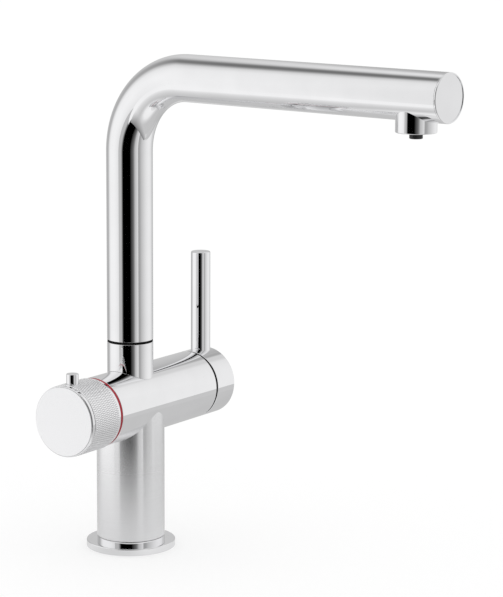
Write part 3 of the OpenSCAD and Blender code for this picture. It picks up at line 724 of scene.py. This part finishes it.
def studio_table(glow):
    """The pale table that the metal reflects: bright under the tap, grey towards its edges."""
    cells = 48
    spot_centre = 75
    below = 60
    turn = math.radians(18)
    mesh = bmesh.new()
    bmesh.ops.create_grid(mesh, x_segments=cells, y_segments=cells, size=0.5)
    bmesh.ops.scale(mesh, vec=(TABLE_FRONT - TABLE_BACK, TABLE_RIGHT - TABLE_LEFT, 1), verts=mesh.verts)
    bmesh.ops.translate(mesh, vec=((TABLE_FRONT + TABLE_BACK) / 2, (TABLE_LEFT + TABLE_RIGHT) / 2, 0),
                        verts=mesh.verts)
    level = mesh.verts.layers.float.new("level")
    for vert in mesh.verts:
        spot = level_at(TABLE_SPOT, math.hypot(vert.co.x - spot_centre, vert.co.y))
        side = level_at(TABLE_SIDE, vert.co.y)
        rear = level_at(TABLE_REAR, vert.co.x)
        vert[level] = max(spot, side, rear) * level_at(TABLE_SHADE, vert.co.x)
    bmesh.ops.scale(mesh, vec=(MM, MM, MM), verts=mesh.verts)
    place = Matrix.Rotation(CAMERA_SIDE + turn, 4, "Z") @ Matrix.Translation((0, 0, -below * MM))
    set_stage_piece(mesh, "studio_table", place, glow)


def studio_stand(glow):
    """The pale stand right under the base flange."""
    stand_r, below = 52, 2
    mesh = bmesh.new()
    bmesh.ops.create_circle(mesh, cap_ends=True, cap_tris=True, radius=stand_r * MM, segments=64)
    level = mesh.verts.layers.float.new("level")
    for vert in mesh.verts:
        vert[level] = level_at(STAND, math.degrees(math.atan2(vert.co.y, vert.co.x)))
    place = Matrix.Rotation(CAMERA_SIDE, 4, "Z") @ Matrix.Translation((0, 0, -below * MM))
    set_stage_piece(mesh, "studio_stand", place, glow)


def make_floor():
    """A plain pale floor. The camera sees it white, with the tap's soft shadow."""
    floor_r = 40  # metres
    paint_grey = 0.45
    seen_brighter = 0.56
    floor_finish, nodes, links, shader = new_finish("pale_floor")
    nodes.remove(shader)
    paint = nodes.new("ShaderNodeBsdfDiffuse")
    paint.inputs["Color"].default_value = (paint_grey, paint_grey, paint_grey, 1)
    light = nodes.new("ShaderNodeEmission")
    seen = nodes.new("ShaderNodeLightPath")
    share = nodes.new("ShaderNodeMath")
    share.operation = "MULTIPLY"
    share.inputs[1].default_value = seen_brighter
    both = nodes.new("ShaderNodeAddShader")
    links.new(seen.outputs["Is Camera Ray"], share.inputs[0])
    links.new(share.outputs["Value"], light.inputs["Strength"])
    links.new(paint.outputs["BSDF"], both.inputs[0])
    links.new(light.outputs["Emission"], both.inputs[1])
    links.new(both.outputs["Shader"], nodes["Material Output"].inputs["Surface"])
    mesh = bmesh.new()
    bmesh.ops.create_circle(mesh, cap_ends=True, radius=floor_r, segments=128)
    data = bpy.data.meshes.new("pale_floor")
    mesh.to_mesh(data)
    mesh.free()
    data.materials.append(floor_finish)
    floor = bpy.data.objects.new("pale_floor", data)
    floor.visible_glossy = False
    floor.visible_shadow = False
    bpy.context.scene.collection.objects.link(floor)


def make_world():
    """Plain white light from all round, a little dimmer where metal reflects it."""
    world = bpy.data.worlds.new("studio")
    world.use_nodes = True
    nodes, links = world.node_tree.nodes, world.node_tree.links
    plain = nodes["Background"]
    plain.inputs["Color"].default_value = (1, 1, 1, 1)
    seen = nodes.new("ShaderNodeLightPath")
    strength = nodes.new("ShaderNodeMapRange")
    strength.inputs["To Min"].default_value = 1.0
    strength.inputs["To Max"].default_value = 0.65
    links.new(seen.outputs["Is Glossy Ray"], strength.inputs["Value"])
    links.new(strength.outputs["Result"], plain.inputs["Strength"])
    bpy.context.scene.world = world


def make_studio():
    glow = studio_glow()
    tent_rows = [
        (-900, FLOOR_WALL), (-36, FLOOR_WALL), (-33, LOW_WALL), (350, LOW_WALL), (1150, HIGH_WALL),
        (1600, HIGH_WALL),
    ]
    studio_wall("studio_tent", 600, tent_rows, glow)
    studio_wall("grey_screen", 585, [(-36, GREY_SCREEN), (230, GREY_SCREEN)], glow)
    studio_wall("front_card", 590, [(-900, FRONT_CARD), (900, FRONT_CARD)], glow)
    studio_wall("right_card", 430, [(-62, RIGHT_CARD), (4, RIGHT_CARD)], glow)
    studio_wall("corner_card", 590, [(440, CORNER_CARD), (900, CORNER_CARD)], glow)
    studio_table(glow)
    studio_stand(glow)


# ---- the whole tap -----------------------------------------------------------------------

finish_cad_nodes()
make_flange()
make_column()
make_barrel()
make_collar()
make_swivel_washer()
make_spout_tube()
make_end_cap()
make_outlet()
make_nozzle()
make_slide_ring()
make_lever_cap()
make_lever_rod()
make_red_ring()
make_knob_sleeve()
make_knob_face()
make_button()

bpy.context.scene.view_settings.view_transform = "Standard"
make_camera()
make_world()
make_floor()
make_studio()
